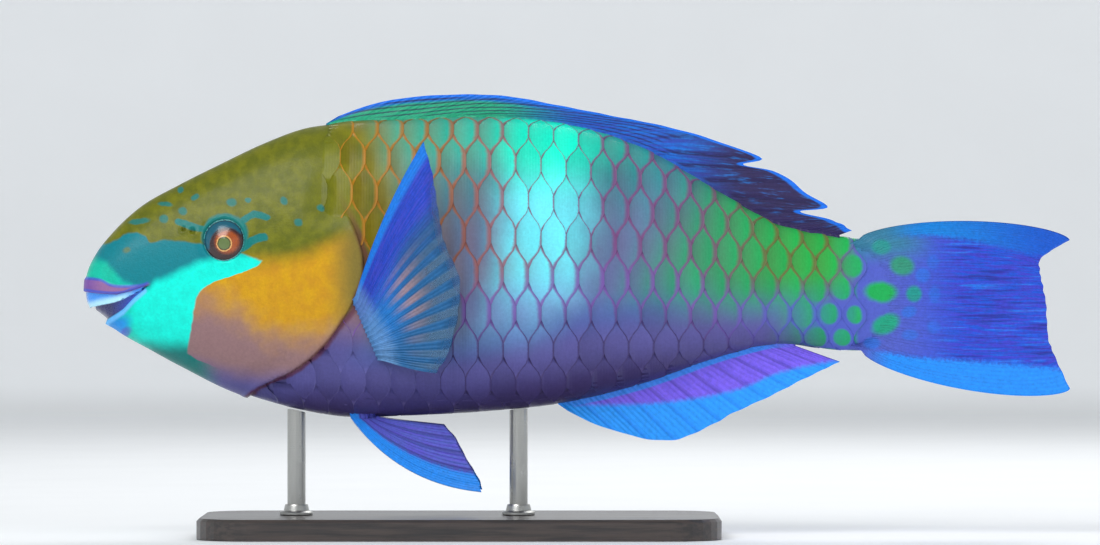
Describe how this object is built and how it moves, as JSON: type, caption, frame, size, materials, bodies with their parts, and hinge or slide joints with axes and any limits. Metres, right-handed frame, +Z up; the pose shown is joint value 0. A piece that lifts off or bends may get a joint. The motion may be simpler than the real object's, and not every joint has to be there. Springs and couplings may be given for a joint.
{
  "type": "parrotfish model",
  "caption": "Life-size still model of an adult male parrotfish with raised side fins and a closed beak, held level by short rods over a flat base.",
  "frame": {"origin": "on the floor under the middle of the fish's length, at the middle of the base's underside height", "axes": "+Z up; -X towards the snout, +X towards the tail; -Y is the fish's left side"},
  "size_m": [0.3801, 0.0982, 0.1701],
  "materials": {
    "head_skin": "wet, smooth fish skin, olive over orange with turquoise face marks",
    "flank_skin": "wet skin under large scales, blue-green with rose scale edges",
    "stalk_skin": "wet skin under large scales, green spots on violet",
    "eye": "clear wet cornea over an orange-brown iris",
    "tooth_plate": "polished blue-white tooth enamel",
    "fin_blue": "thin wet membrane over rays",
    "fin_violet": "thin wet membrane over rays",
    "stand_base": "satin black",
    "stand_rod": "satin metal"
  },
  "bodies": {
    "root": {"head": "head_skin", "eye_left": "eye", "eye_right": "eye", "beak_upper": "tooth_plate", "beak_lower": "tooth_plate", "torso": "flank_skin", "tail_stalk": "stalk_skin", "dorsal_fin": "fin_blue", "anal_fin": "fin_violet", "tail_fin": "fin_violet", "pectoral_fin_left": "fin_blue", "pectoral_fin_right": "fin_blue", "pelvic_fin_left": "fin_violet", "pelvic_fin_right": "fin_violet", "stand_base": "stand_base", "stand_rod_front": "stand_rod", "stand_rod_rear": "stand_rod"}
  },
  "joints": []
}
